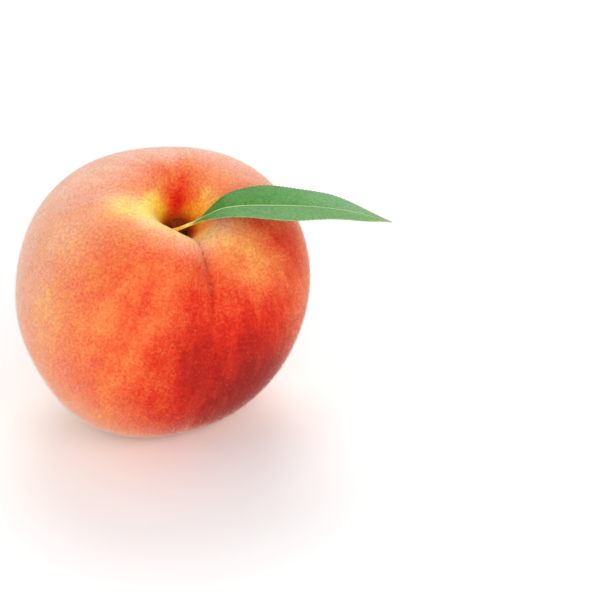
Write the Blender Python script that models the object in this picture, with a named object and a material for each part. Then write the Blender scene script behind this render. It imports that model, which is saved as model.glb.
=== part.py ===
"""A ripe peach as it is picked: the fruit, its short woody stem and one leaf.

Units are metres, +Z is up, and the origin is the centre of the small flat spot that the
fruit rests on.  Its front, with the seam (suture) between the two lobes, looks along -Y.

The fruit is one solid that grew as one piece.  The stem stands in a shallow socket in the
floor of the stem cavity.  The leaf's stalk comes out beside the stem and its blade
passes over the right shoulder of the fruit.
"""

from math import atan2, cos, exp, hypot, pi, radians, sin

import bmesh
import bpy
from mathutils import Matrix, Vector
from mathutils.geometry import interpolate_bezier

MM = 0.001

# ---- Driving dimensions ---------------------------------------------------------------

# Fruit body, about its own stem axis
FRUIT_DIAMETER = 75 * MM
CROWN_HEIGHT = 34.4 * MM        # centre to the crown, before the cavity is sunk in it
BASE_HEIGHT = 35.0 * MM         # centre to the blossom end
CROWN_SQUARENESS = 2.25         # 2 is an ellipse, more gives fuller shoulders
BASE_SQUARENESS = 2.05

# Stem cavity
CAVITY_DEPTH = 14.0 * MM
CAVITY_REACH_ACROSS = 6.6 * MM      # across the seam
CAVITY_REACH_ALONG = 8.2 * MM       # along the seam
CAVITY_SQUARENESS = 2.5             # 2 is a bell, more gives a wider floor

# Seam between the lobes, down the front, with a shallow furrow on the far side
SEAM_DEPTH = 0.45 * MM
SEAM_DEPTH_AT_CROWN = 2.5 * MM
SEAM_REACH = 2.3 * MM
SEAM_VALLEY_SHARE = 0.35        # depth of the wide valley round the crease
SEAM_VALLEY_REACH = 9 * MM
SEAM_CROWN_ANGLE = radians(30)
SEAM_CROWN_FADE = radians(21)
SEAM_ENDS = radians(16)         # the crease runs out this near the blossom end
SEAM_BOW = radians(4)           # the crease bows to the right as it nears the crown
SEAM_BOW_FADE = radians(36)
FURROW_TURN = radians(176)
FURROW_DEPTH = 2.1 * MM
FURROW_REACH = 3.6 * MM
FURROW_ANGLE = radians(17)
FURROW_FADE = radians(15)

# Behind the left lobe a soft dip runs out of the cavity and down the flank
DIP_DEPTH = 2.1 * MM
DIP_TURN = radians(-119)
DIP_REACH = 4.8 * MM
DIP_ANGLE = radians(27)
DIP_FADE = radians(22)

# The left lobe stands a little prouder than the right one beside the cavity
LEFT_SHOULDER_RISE = 1.3 * MM
RIGHT_SHOULDER_DROP = 0.5 * MM
SHOULDER_TURN = radians(42)
SHOULDER_SPREAD = radians(34)
SHOULDER_ANGLE = radians(30)
SHOULDER_FADE = radians(17)

# The body is a little fuller one way than the other, with slow swellings and hollows, and
# its blossom end has a shallow dimple with a small point
FULLNESS = 3.0 * MM
FULL_WAY = Vector((0.71, 0.50, 0.49)).normalized()
FULL_LEVEL = 0.47               # where the fullness changes from more to less
SWELLINGS = [                   # degrees from the stem and from the seam, height, spread
    (46, 172, -1.3 * MM, 25),
    (69, -140, 0.9 * MM, 25),
    (101, -107, -0.5 * MM, 25),
    (124, -79, -1.5 * MM, 20),
    (87, -124, 0.7 * MM, 20),
    (138, -50, 0.8 * MM, 25),
    (112, 125, 0.7 * MM, 25),
    (19, -78, -2.6 * MM, 12),   # the left lobe's crest is lower beside the cavity
]
CROWN_KEEPS_ROUND = radians(24)  # the fullness fades out towards the stem within this
BLOSSOM_DIMPLE = 0.9 * MM
BLOSSOM_DIMPLE_ANGLE = radians(13)
BLOSSOM_POINT = 1.3 * MM
BLOSSOM_POINT_ANGLE = radians(4.5)

# How the fruit lies: stem end tipped forward and to the right, seam turned to the right
TIP_FORWARD = radians(16.7)
LEAN_RIGHT = radians(13.4)
SEAM_TURN = radians(22.5)
REST_SPOT_DEPTH = 0.9 * MM      # what the weight of the fruit flattens

# Stem, a woody stub with a flared foot and a cut end
STEM_RADIUS = 2.2 * MM
STEM_FOOT_RADIUS = 2.6 * MM
STEM_HEIGHT = 4.8 * MM
STEM_SOCKET_DEPTH = 1.4 * MM
STEM_RIDGES = 7
STEM_RIDGE_HEIGHT = 0.12 * MM

# Leaf
LEAF_STALK_RADIUS = 0.6 * MM
LEAF_STALK_FOOT = 1.25          # how much thicker the stalk is where it starts
LEAF_HALF_WIDTH = 8.2 * MM
LEAF_THICKNESS = 0.65 * MM
LEAF_RIB_DEPTH = 0.75 * MM      # how far the midrib stands out of the lower face
LEAF_RIB_SPAN = 0.12            # its half width as a share of the blade's
LEAF_BULGE = 0.10               # how much each half is crowned, as a share of its width
LEAF_FOLD = radians(7)          # each half is raised this much from the midrib
LEAF_ROLL = radians(4)          # the whole blade turned towards the front
LEAF_WAVE = 0.25 * MM
LEAF_WAVES = 2.5
LEAF_TEETH = 26
LEAF_TOOTH_DEPTH = 0.4 * MM
LEAF_TOOTH_SLANT = 0.68         # where in its pitch a tooth stands out furthest
LEAF_TOOTH_FULL_AT = 3 * MM     # half width from which the teeth have their full depth
LEAF_TIP = 0.995                # share of the midrib at which the tip is cut blunt

CLEARANCE = 0.3 * MM            # between pieces that touch

# Mesh density
FRUIT_COLUMNS = 76
FRUIT_RINGS = 42
STEM_SIDES = 28
STALK_STATIONS = 9

ROUND = 2 * pi
STEM_FLOOR = CROWN_HEIGHT - CAVITY_DEPTH

# The leaf's midrib, from the stem to the tip, measured from the fruit's centre
MIDRIB_ROUTE = [
    Vector((4.0, -10.1, 21.8)) * MM,
    Vector((9.2, -12.4, 25.2)) * MM,
    Vector((17.5, -13.8, 29.9)) * MM,
    Vector((31.0, -10.6, 28.9)) * MM,
    Vector((45.0, -5.2, 25.2)) * MM,
    Vector((58.4, 0.8, 18.9)) * MM,
]
BLADE_START = 0.08              # share of the midrib's length that is bare stalk
BLADE_OPENS = 0.12              # share of the blade over which the stalk flattens into it
ACROSS = (-1.0, -0.62, -0.3, -0.1, 0.0, 0.1, 0.3, 0.62, 1.0)


# ---- Scene and materials --------------------------------------------------------------

def clear_scene():
    for obj in list(bpy.data.objects):
        bpy.data.objects.remove(obj, do_unlink=True)


def make_collection(name):
    collection = bpy.data.collections.new(name)
    bpy.context.scene.collection.children.link(collection)
    return collection


def make_material(name, colour, roughness):
    material = bpy.data.materials.new(name)
    material.use_nodes = True
    shader = material.node_tree.nodes["Principled BSDF"]
    shader.inputs["Base Color"].default_value = (*colour, 1.0)
    shader.inputs["Roughness"].default_value = roughness
    shader.inputs["Metallic"].default_value = 0.0
    return material


def make_object(name, shape, collection, material=None):
    """Turn a bmesh into an object with its faces pointing out."""
    bmesh.ops.recalc_face_normals(shape, faces=shape.faces)
    mesh = bpy.data.meshes.new(name)
    shape.to_mesh(mesh)
    shape.free()
    mesh.shade_smooth()
    mesh.set_sharp_from_angle(angle=radians(50))
    if material:
        mesh.materials.append(material)
    obj = bpy.data.objects.new(name, mesh)
    collection.objects.link(obj)
    return obj


# ---- Fruit ----------------------------------------------------------------------------

def bell(offset, reach):
    return exp(-(offset / reach) ** 2)


def wrapped(angle):
    """The same angle between minus and plus half a turn."""
    return atan2(sin(angle), cos(angle))


def body_radius(polar):
    """Distance from the centre to the plain body; polar is 0 at the stem."""
    upper = cos(polar) > 0
    height = CROWN_HEIGHT if upper else BASE_HEIGHT
    squareness = CROWN_SQUARENESS if upper else BASE_SQUARENESS
    across = (sin(polar) / (FRUIT_DIAMETER / 2)) ** squareness
    along = (abs(cos(polar)) / height) ** squareness
    return (across + along) ** (-1 / squareness)


def seam_relief(polar, turn, radius):
    """Depth of the front seam and of the far furrow, with turn 0 on the seam."""
    bow = SEAM_BOW * bell(polar - SEAM_CROWN_ANGLE, SEAM_BOW_FADE)
    from_seam = radius * sin(polar) * wrapped(turn - bow)
    crown = SEAM_DEPTH_AT_CROWN * bell(polar - SEAM_CROWN_ANGLE, SEAM_CROWN_FADE)
    end_fade = 1 - bell(pi - polar, SEAM_ENDS)
    crease = exp(-abs(from_seam) / SEAM_REACH)
    valley = SEAM_VALLEY_SHARE * bell(from_seam, SEAM_VALLEY_REACH)
    seam = (SEAM_DEPTH * end_fade + crown) * (crease + valley)
    from_furrow = radius * sin(polar) * wrapped(turn - FURROW_TURN)
    furrow = FURROW_DEPTH * bell(from_furrow, FURROW_REACH)
    furrow *= bell(polar - FURROW_ANGLE, FURROW_FADE)
    return seam if abs(wrapped(turn)) < pi / 2 else furrow


def dip_relief(polar, turn, radius):
    from_dip = radius * sin(polar) * wrapped(turn - DIP_TURN)
    return DIP_DEPTH * bell(from_dip, DIP_REACH) * bell(polar - DIP_ANGLE, DIP_FADE)


def shoulder_relief(polar, turn):
    near_crown = bell(polar - SHOULDER_ANGLE, SHOULDER_FADE)
    left = LEFT_SHOULDER_RISE * bell(wrapped(turn + SHOULDER_TURN), SHOULDER_SPREAD)
    right = RIGHT_SHOULDER_DROP * bell(wrapped(turn - SHOULDER_TURN), SHOULDER_SPREAD)
    return near_crown * (left - right)


def outward(polar, turn):
    return Vector((sin(polar) * sin(turn), -sin(polar) * cos(turn), cos(polar)))


def full_relief(polar, turn):
    """Fuller towards FULL_WAY and opposite it, and flatter between them, but not at the stem."""
    towards = outward(polar, turn).dot(FULL_WAY)
    return FULLNESS * (towards ** 2 - FULL_LEVEL) * (1 - bell(polar, CROWN_KEEPS_ROUND))


def swell_relief(polar, turn):
    """The slow swellings and hollows, each a bell round its own middle."""
    here = outward(polar, turn)
    total = 0.0
    for from_stem, from_seam, height, spread in SWELLINGS:
        apart = here.angle(outward(radians(from_stem), radians(from_seam)), 0.0)
        total += height * bell(apart, radians(spread))
    return total


def blossom_relief(polar):
    from_end = pi - polar
    point = BLOSSOM_POINT * bell(from_end, BLOSSOM_POINT_ANGLE)
    return point - BLOSSOM_DIMPLE * bell(from_end, BLOSSOM_DIMPLE_ANGLE)


def fruit_point(polar, turn):
    """A point of the skin in the fruit's own frame: stem axis +Z, seam towards -Y."""
    radius = body_radius(polar)
    radius += shoulder_relief(polar, turn) + full_relief(polar, turn)
    radius += swell_relief(polar, turn) + blossom_relief(polar)
    radius -= seam_relief(polar, turn, radius) + dip_relief(polar, turn, radius)
    point = radius * outward(polar, turn)
    if point.z > 0:
        from_axis = hypot(point.x / CAVITY_REACH_ACROSS, point.y / CAVITY_REACH_ALONG)
        point.z -= CAVITY_DEPTH * exp(-from_axis ** CAVITY_SQUARENESS)
    return point


def closer_rings(polar):
    """Draw the rings together towards both ends, most at the stem."""
    return polar - 0.25 * sin(2 * polar) - 0.12 * sin(polar)


def closer_columns(turn):
    """Draw the columns together towards the seam."""
    return turn - 0.62 * sin(turn)


def fruit_lie():
    lean = Matrix.Rotation(LEAN_RIGHT, 4, "Y")
    tip = Matrix.Rotation(TIP_FORWARD, 4, "X")
    turn = Matrix.Rotation(SEAM_TURN, 4, "Z")
    return lean @ tip @ turn


def shape_fruit():
    shape = bmesh.new()
    bmesh.ops.create_uvsphere(shape, u_segments=FRUIT_COLUMNS, v_segments=FRUIT_RINGS, radius=1)
    for vert in shape.verts:
        polar = atan2(hypot(vert.co.x, vert.co.y), vert.co.z)
        turn = atan2(vert.co.x, -vert.co.y)
        vert.co = fruit_point(closer_rings(polar), closer_columns(turn))
    bmesh.ops.transform(shape, matrix=fruit_lie(), verts=shape.verts)
    return shape


def flatten_rest_spot(shape):
    """Cut the lowest sliver away and return the centre of the flat that is left."""
    level = min(vert.co.z for vert in shape.verts) + REST_SPOT_DEPTH
    everything = shape.verts[:] + shape.edges[:] + shape.faces[:]
    cut = bmesh.ops.bisect_plane(
        shape, geom=everything, plane_co=(0, 0, level), plane_no=(0, 0, -1), clear_outer=True)
    rim = [item for item in cut["geom_cut"] if isinstance(item, bmesh.types.BMEdge)]
    for vert in {vert for edge in rim for vert in edge.verts}:
        vert.co.z = level
    spot = bmesh.ops.contextual_create(shape, geom=rim)["faces"][0]
    centre = spot.calc_center_median_weighted()
    return Vector((centre.x, centre.y, level))


def add_socket(fruit, place, cutters):
    """Sink the stem's socket into the floor of the cavity."""
    depth = 4 * STEM_SOCKET_DEPTH
    middle = STEM_FLOOR - STEM_SOCKET_DEPTH + depth / 2
    radius = STEM_FOOT_RADIUS + CLEARANCE
    cutter = bmesh.new()
    bmesh.ops.create_cone(
        cutter, cap_ends=True, segments=STEM_SIDES, radius1=radius, radius2=radius, depth=depth,
        matrix=place @ Matrix.Translation((0, 0, middle)))
    socket = make_object("stem_socket", cutter, cutters)
    socket.hide_render = True
    socket.display_type = "WIRE"
    cut = fruit.modifiers.new("Stem socket", "BOOLEAN")
    cut.operation = "DIFFERENCE"
    cut.object = socket


# ---- Stem -----------------------------------------------------------------------------

def stem_profile():
    """Radius and height up the stem's side, from the foot to the worn cut end."""
    foot = STEM_FLOOR - STEM_SOCKET_DEPTH + CLEARANCE
    top = STEM_FLOOR + STEM_HEIGHT - STEM_SOCKET_DEPTH
    return [
        (STEM_FOOT_RADIUS - 0.4 * MM, foot),
        (STEM_FOOT_RADIUS, foot + 0.4 * MM),
        (STEM_FOOT_RADIUS, foot + 1.2 * MM),
        (STEM_RADIUS, foot + 2.2 * MM),
        (STEM_RADIUS, top - 0.9 * MM),
        (STEM_RADIUS + 0.2 * MM, top - 0.3 * MM),
        (STEM_RADIUS - 0.3 * MM, top),
    ]


def shape_stem(place):
    """A turned stub, closed at both ends, with low ridges of bark up its side."""
    shape = bmesh.new()
    verts = [shape.verts.new((radius, 0, height)) for radius, height in stem_profile()]
    edges = [shape.edges.new(pair) for pair in zip(verts, verts[1:])]
    bmesh.ops.spin(
        shape, geom=verts + edges, cent=(0, 0, 0), axis=(0, 0, 1), angle=ROUND, steps=STEM_SIDES)
    bmesh.ops.remove_doubles(shape, verts=shape.verts, dist=0.001 * MM)
    rims = [edge for edge in shape.edges if edge.is_boundary]
    bmesh.ops.holes_fill(shape, edges=rims, sides=STEM_SIDES)
    for vert in shape.verts:
        turn = atan2(vert.co.y, vert.co.x)
        ridge = STEM_RIDGE_HEIGHT * cos(STEM_RIDGES * turn) / hypot(vert.co.x, vert.co.y)
        vert.co.x *= 1 - abs(ridge)
        vert.co.y *= 1 - abs(ridge)
    bmesh.ops.transform(shape, matrix=place, verts=shape.verts)
    return shape


# ---- Leaf -----------------------------------------------------------------------------

def smooth_route(points, steps_between):
    """A smooth line through the points, from Bezier stretches that share their tangents."""
    tangents = []
    for index in range(len(points)):
        before = points[max(index - 1, 0)]
        after = points[min(index + 1, len(points) - 1)]
        tangents.append((after - before) / 6)
    line = []
    for index in range(len(points) - 1):
        start, end = points[index], points[index + 1]
        stretch = interpolate_bezier(
            start, start + tangents[index], end - tangents[index + 1], end, steps_between)
        line += stretch[:-1]
    return line + [points[-1]]


def route_reader(line):
    """A function that gives place and direction at a share of the line's length."""
    lengths = [0.0]
    for start, end in zip(line, line[1:]):
        lengths.append(lengths[-1] + (end - start).length)

    def read(share):
        target = share * lengths[-1]
        index = 0
        while index < len(line) - 2 and lengths[index + 1] < target:
            index += 1
        step = line[index + 1] - line[index]
        part = (target - lengths[index]) / step.length
        before = line[max(index - 1, 0)]
        after = line[min(index + 2, len(line) - 1)]
        return line[index] + step * part, (after - before).normalized()

    return read


def blade_half_width(share):
    """Lance-shaped outline: share runs from 0 at the blade's base to 1 at its tip."""
    rise, fall = 1.05, 1.15
    widest = rise / (rise + fall)
    peak = widest ** rise * (1 - widest) ** fall
    return LEAF_HALF_WIDTH * share ** rise * (1 - share) ** fall / peak


def leaf_stations():
    """Shares of the midrib where a cross-section stands, and whether a tooth is out there."""
    stations = [(BLADE_START * index / STALK_STATIONS, False) for index in range(STALK_STATIONS)]
    pitch = (1 - BLADE_START) / LEAF_TEETH
    for tooth in range(LEAF_TEETH):
        start = BLADE_START + tooth * pitch
        stations.append((start, False))
        stations.append((start + LEAF_TOOTH_SLANT * pitch, tooth < LEAF_TEETH - 1))
    return stations + [(LEAF_TIP, False)]


def blade_edge(half_width, tooth_out):
    """Half width at the margin, where a tooth may stand out."""
    if not tooth_out:
        return half_width
    return half_width + LEAF_TOOTH_DEPTH * min(1.0, half_width / LEAF_TOOTH_FULL_AT)


def blade_point(across, along, half_width, edge):
    """Side and height of the middle of the blade's thickness, seen along the midrib."""
    reach = abs(across) * (edge if abs(across) == 1 else half_width)
    fold = LEAF_FOLD - LEAF_ROLL if across < 0 else LEAF_FOLD + LEAF_ROLL
    side = reach * cos(fold) * (1 if across > 0 else -1)
    bulge = LEAF_BULGE * half_width * abs(across) * (1 - abs(across))
    wave = LEAF_WAVE * across ** 2 * sin(ROUND * LEAF_WAVES * along + 2 * across)
    return side, reach * sin(fold) + bulge + wave * 4 * along * (1 - along)


def leaf_section(share, tooth_out):
    """Upper and lower points of a cross-section, from the round stalk to the flat blade."""
    along = max(0.0, (share - BLADE_START) / (1 - BLADE_START))
    flat = min(1.0, along / BLADE_OPENS)
    foot = max(0.0, 1 - share / (BLADE_START / 4))
    stalk_radius = LEAF_STALK_RADIUS * (1 + (LEAF_STALK_FOOT - 1) * foot)
    half_width = blade_half_width(along)
    edge = blade_edge(half_width, tooth_out)
    upper, lower = [], []
    for across in ACROSS:
        blade_side, blade_height = blade_point(across, along, half_width, edge)
        stalk_side = stalk_radius * sin(pi / 2 * across)
        stalk_height = max(stalk_radius * cos(pi / 2 * across), stalk_radius / 6)
        rib = LEAF_RIB_DEPTH * (1 - along) * max(0.0, 1 - abs(across) / LEAF_RIB_SPAN)
        side = stalk_side + (blade_side - stalk_side) * flat
        top = stalk_height + (blade_height + LEAF_THICKNESS / 2 - stalk_height) * flat
        under = -stalk_height + (blade_height - LEAF_THICKNESS / 2 - rib + stalk_height) * flat
        upper.append((side, top))
        lower.append((side, under))
    return upper, lower


def shape_leaf():
    """Loft the cross-sections, with both faces split into triangles alike."""
    read = route_reader(smooth_route(MIDRIB_ROUTE, 24))
    shape = bmesh.new()
    rows = []
    for share, tooth_out in leaf_stations():
        place, along = read(share)
        to_far_side = Vector((0, 0, 1)).cross(along).normalized()
        up = along.cross(to_far_side)
        upper, lower = leaf_section(share, tooth_out)
        rows.append([
            [shape.verts.new(place + to_far_side * side + up * rise) for side, rise in face]
            for face in (upper, lower)])
    last = len(ACROSS) - 1
    for (top, under), (next_top, next_under) in zip(rows, rows[1:]):
        for index in range(last):
            for face, next_face in ((top, next_top), (under, next_under)):
                shape.faces.new((face[index], next_face[index], next_face[index + 1]))
                shape.faces.new((face[index], next_face[index + 1], face[index + 1]))
        for edge in (0, last):
            shape.faces.new((top[edge], next_top[edge], next_under[edge]))
            shape.faces.new((top[edge], next_under[edge], under[edge]))
    for top, under in (rows[0], rows[-1]):
        shape.faces.new(top + under[::-1])
    return shape


# ---- The peach ------------------------------------------------------------------------

def build_peach():
    clear_scene()
    peach = make_collection("peach")
    cutters = make_collection("cutters")
    skin = make_material("peach_skin", (0.83, 0.25, 0.11), 0.6)
    bark = make_material("stem_bark", (0.16, 0.08, 0.04), 0.85)
    green = make_material("leaf_green", (0.10, 0.26, 0.09), 0.45)

    fruit_shape = shape_fruit()
    to_origin = Matrix.Translation(-flatten_rest_spot(fruit_shape))
    bmesh.ops.transform(fruit_shape, matrix=to_origin, verts=fruit_shape.verts)
    fruit = make_object("fruit", fruit_shape, peach, skin)
    place = to_origin @ fruit_lie()
    add_socket(fruit, place, cutters)

    make_object("stem", shape_stem(place), peach, bark)

    leaf_shape = shape_leaf()
    bmesh.ops.transform(leaf_shape, matrix=to_origin, verts=leaf_shape.verts)
    make_object("leaf", leaf_shape, peach, green)


build_peach()
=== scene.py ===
from math import cos, pi, radians, sin

import bpy
import numpy as np
from mathutils import Matrix, Vector
from mathutils.geometry import interpolate_bezier


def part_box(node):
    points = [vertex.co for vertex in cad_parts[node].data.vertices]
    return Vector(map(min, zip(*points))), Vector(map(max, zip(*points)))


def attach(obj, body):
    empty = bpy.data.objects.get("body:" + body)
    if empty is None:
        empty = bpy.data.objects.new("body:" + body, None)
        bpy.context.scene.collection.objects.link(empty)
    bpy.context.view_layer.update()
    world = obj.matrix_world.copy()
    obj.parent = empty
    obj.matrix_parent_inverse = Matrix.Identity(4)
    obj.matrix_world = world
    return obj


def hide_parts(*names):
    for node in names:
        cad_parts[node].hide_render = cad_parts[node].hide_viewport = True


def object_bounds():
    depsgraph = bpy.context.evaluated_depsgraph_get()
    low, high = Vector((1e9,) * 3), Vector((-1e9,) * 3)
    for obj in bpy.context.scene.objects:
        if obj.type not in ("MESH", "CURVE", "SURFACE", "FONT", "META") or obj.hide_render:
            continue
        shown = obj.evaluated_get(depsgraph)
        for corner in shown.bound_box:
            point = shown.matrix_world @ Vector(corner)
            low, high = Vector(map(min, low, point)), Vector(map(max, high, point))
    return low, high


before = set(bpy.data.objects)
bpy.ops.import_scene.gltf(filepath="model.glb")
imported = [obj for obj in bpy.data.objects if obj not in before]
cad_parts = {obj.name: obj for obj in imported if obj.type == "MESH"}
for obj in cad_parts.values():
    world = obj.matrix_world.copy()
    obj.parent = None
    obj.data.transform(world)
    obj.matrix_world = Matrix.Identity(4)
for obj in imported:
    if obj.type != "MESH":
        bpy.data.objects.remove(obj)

cad_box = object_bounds()

# ---- Fruit ----------------------------------------------------------------------------
# A ripe peach, grown whole: soft flesh in a thin skin, with a seam between its two lobes,
# a deep stem cavity and a faint point at the blossom end.  It lies tipped towards the
# front, on a small flat spot that its own weight presses in.
MM = 0.001
FRUIT_DIAMETER = 75 * MM
CROWN_HEIGHT = 34.4 * MM
BASE_HEIGHT = 35.0 * MM
CROWN_SQUARENESS, BASE_SQUARENESS = 2.25, 2.05
CROWN_RING = radians(30)                        # from the stem, where the shoulders are highest
SEAM_DEPTH, SEAM_CROWN_DEPTH = 0.45 * MM, 2.5 * MM
SEAM_CROWN_REACH, SEAM_END = radians(21), radians(16)
SEAM_EDGE, SEAM_HOLLOW = 2.3 * MM, 9 * MM       # reach of its line and of the hollow round it
HOLLOW_SHARE = 0.35                             # how deep the hollow is beside the line
SEAM_BOW, BOW_REACH = radians(4), radians(36)
FURROW_TURN = radians(176)                      # opposite the seam, near the stem alone
FURROW_FROM_STEM, FURROW_REACH = radians(17), radians(15)
FURROW_DEPTH, FURROW_HALF_WIDTH = 2.1 * MM, 3.6 * MM
DIP_TURN = radians(-119)                        # a shallow dip in the left shoulder
DIP_FROM_STEM, DIP_REACH = radians(27), radians(22)
DIP_DEPTH, DIP_HALF_WIDTH = 2.1 * MM, 4.8 * MM
SHOULDER_TURN, SHOULDER_WIDTH, SHOULDER_REACH = radians(42), radians(34), radians(17)
LEFT_SHOULDER, RIGHT_SHOULDER = 1.3 * MM, -0.5 * MM
FULLNESS, FULL_SHARE = 3.0 * MM, 0.47           # fuller along one line, slimmer across it
FULL_FROM_STEM = radians(24)
FULL_WAY = np.array((0.71, 0.50, 0.49)) / np.linalg.norm((0.71, 0.50, 0.49))
BLOSSOM_POINT, POINT_REACH = 1.3 * MM, radians(4.5)
BLOSSOM_DIMPLE, DIMPLE_REACH = 0.9 * MM, radians(13)
CAVITY_DEPTH, CAVITY_STEEPNESS = 14.0 * MM, 2.5
CAVITY_REACH = np.array((6.6, 8.2)) * MM        # across and along the seam
SOCKET_RADIUS, SOCKET_DEPTH = 2.75 * MM, 1.4 * MM
SOCKET_WALL = 0.35 * MM
FRUIT_RINGS, FRUIT_COLUMNS = 240, 260
SWELLINGS = [                   # degrees from the stem and the seam, height, spread
    (46, 172, -1.3 * MM, 25),
    (69, -140, 0.9 * MM, 25),
    (101, -107, -0.5 * MM, 25),
    (124, -79, -1.5 * MM, 20),
    (87, -124, 0.7 * MM, 20),
    (138, -50, 0.8 * MM, 25),
    (112, 125, 0.7 * MM, 25),
    (19, -78, -2.6 * MM, 12),
]
LIE = (Matrix.Rotation(radians(13.4), 4, "Y") @ Matrix.Rotation(radians(16.7), 4, "X")
       @ Matrix.Rotation(radians(22.5), 4, "Z"))


def bell(offset, reach):
    """1 where the offset is 0, and nearly 0 from twice the reach on."""
    return np.exp(-(offset / reach) ** 2)


def wrapped(angle):
    """The same angle, between minus and plus half a turn."""
    return np.arctan2(np.sin(angle), np.cos(angle))


def outward(polar, turn):
    """Directions from the fruit's centre: polar from the stem at +Z, turn from the seam at -Y."""
    return np.stack((np.sin(polar) * np.sin(turn), -np.sin(polar) * np.cos(turn),
                     np.cos(polar)), axis=-1)


def body_radius(polar):
    """From the centre to the skin of a plain round fruit, a little square at the crown."""
    upper = np.cos(polar) > 0
    height = np.where(upper, CROWN_HEIGHT, BASE_HEIGHT)
    squareness = np.where(upper, CROWN_SQUARENESS, BASE_SQUARENESS)
    across = (np.sin(polar) / (FRUIT_DIAMETER / 2)) ** squareness
    along = (np.abs(np.cos(polar)) / height) ** squareness
    return (across + along) ** (-1 / squareness)


def crease_offset(polar, turn, radius):
    """How far along the skin a point is from the seam, which bows near the crown."""
    bow = SEAM_BOW * bell(polar - CROWN_RING, BOW_REACH)
    return radius * np.sin(polar) * wrapped(turn - bow)


def seam_relief(polar, turn, radius):
    """Depth of the seam down the front, and of the short furrow behind the stem."""
    offset = crease_offset(polar, turn, radius)
    crown = SEAM_CROWN_DEPTH * bell(polar - CROWN_RING, SEAM_CROWN_REACH)
    end_fade = 1 - bell(pi - polar, SEAM_END)
    crease = np.exp(-np.abs(offset) / SEAM_EDGE) + HOLLOW_SHARE * bell(offset, SEAM_HOLLOW)
    seam = (SEAM_DEPTH * end_fade + crown) * crease
    from_furrow = radius * np.sin(polar) * wrapped(turn - FURROW_TURN)
    furrow = FURROW_DEPTH * bell(from_furrow, FURROW_HALF_WIDTH)
    furrow = furrow * bell(polar - FURROW_FROM_STEM, FURROW_REACH)
    return np.where(np.abs(wrapped(turn)) < pi / 2, seam, furrow)


def form_relief(polar, turn):
    """Shoulders beside the cavity, the slow swellings and the blossom end."""
    here = outward(polar, turn)
    near_crown = bell(polar - CROWN_RING, SHOULDER_REACH)
    left = LEFT_SHOULDER * bell(wrapped(turn + SHOULDER_TURN), SHOULDER_WIDTH)
    right = RIGHT_SHOULDER * bell(wrapped(turn - SHOULDER_TURN), SHOULDER_WIDTH)
    outside = 1 - bell(polar, FULL_FROM_STEM)
    fullness = FULLNESS * ((here @ FULL_WAY) ** 2 - FULL_SHARE) * outside
    relief = near_crown * (left + right) + fullness
    for from_stem, from_seam, height, spread in SWELLINGS:
        middle = outward(radians(from_stem), radians(from_seam))
        apart = np.arccos(np.clip(here @ middle, -1, 1))
        relief = relief + height * bell(apart, radians(spread))
    from_end = pi - polar
    point = BLOSSOM_POINT * bell(from_end, POINT_REACH)
    return relief + point - BLOSSOM_DIMPLE * bell(from_end, DIMPLE_REACH)


def fruit_points(polar, turn):
    """Points of the skin in the fruit's own frame, and how deep each is in the cavity."""
    radius = body_radius(polar) + form_relief(polar, turn)
    from_dip = radius * np.sin(polar) * wrapped(turn - DIP_TURN)
    dip = DIP_DEPTH * bell(from_dip, DIP_HALF_WIDTH) * bell(polar - DIP_FROM_STEM, DIP_REACH)
    points = (radius - seam_relief(polar, turn, radius) - dip)[..., None] * outward(polar, turn)
    from_axis = np.hypot(points[..., 0] / CAVITY_REACH[0], points[..., 1] / CAVITY_REACH[1])
    sunk = np.where(points[..., 2] > 0, np.exp(-from_axis ** CAVITY_STEEPNESS), 0)
    points[..., 2] -= CAVITY_DEPTH * sunk
    inside = SOCKET_RADIUS - np.hypot(points[..., 0], points[..., 1])
    in_socket = np.clip(inside / SOCKET_WALL, 0, 1)
    points[..., 2] -= np.where(points[..., 2] > 0, SOCKET_DEPTH, 0) * in_socket
    return points, sunk


# Rings and columns lie closer together near the two ends and near the seam
ring = np.linspace(0, pi, FRUIT_RINGS + 1)[1:-1]
ring = ring - 0.25 * np.sin(2 * ring) - 0.12 * np.sin(ring)
column = np.linspace(-pi, pi, FRUIT_COLUMNS, endpoint=False)
column = column - 0.62 * np.sin(column)
polar_grid, turn_grid = np.meshgrid(ring, column, indexing="ij")
skin_grid, sunk_grid = fruit_points(polar_grid, turn_grid)
ends, _ = fruit_points(np.array((1e-6, pi - 1e-6)), np.array((0.0, 0.0)))

# Laid down, the fruit is centred on its solid and its crown is level with the solid's
fruit_low, fruit_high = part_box("fruit")
lie = np.array(LIE)[:3, :3]
laid = skin_grid.reshape(-1, 3) @ lie.T
fruit_centre = Vector(((fruit_low.x + fruit_high.x - laid[:, 0].min() - laid[:, 0].max()) / 2,
                       (fruit_low.y + fruit_high.y - laid[:, 1].min() - laid[:, 1].max()) / 2,
                       fruit_high.z - laid[:, 2].max()))


def laid_down(points):
    """Points of the fruit's own frame, in the frame of the ground, never below the rest spot."""
    down = points @ lie.T + np.array(fruit_centre)
    down[..., 2] = np.maximum(down[..., 2], fruit_low.z)
    return down


def grid_faces(rows, columns):
    """Four-sided faces between neighbouring rows, and round to the first column again."""
    row = np.arange(rows - 1)[:, None] * columns
    first = np.arange(columns)[None, :]
    after = (first + 1) % columns
    return np.stack((row + first, row + columns + first, row + columns + after, row + after),
                    axis=-1).reshape(-1, 4)


def add_piece(name, points, faces, material):
    """A smooth mesh piece from points and faces, given in metres in the frame of the ground."""
    mesh = bpy.data.meshes.new(name)
    mesh.from_pydata(points.tolist(), [], faces)
    mesh.shade_smooth()
    mesh.materials.append(material)
    piece = bpy.data.objects.new(name, mesh)
    bpy.context.scene.collection.objects.link(piece)
    return piece


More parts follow.
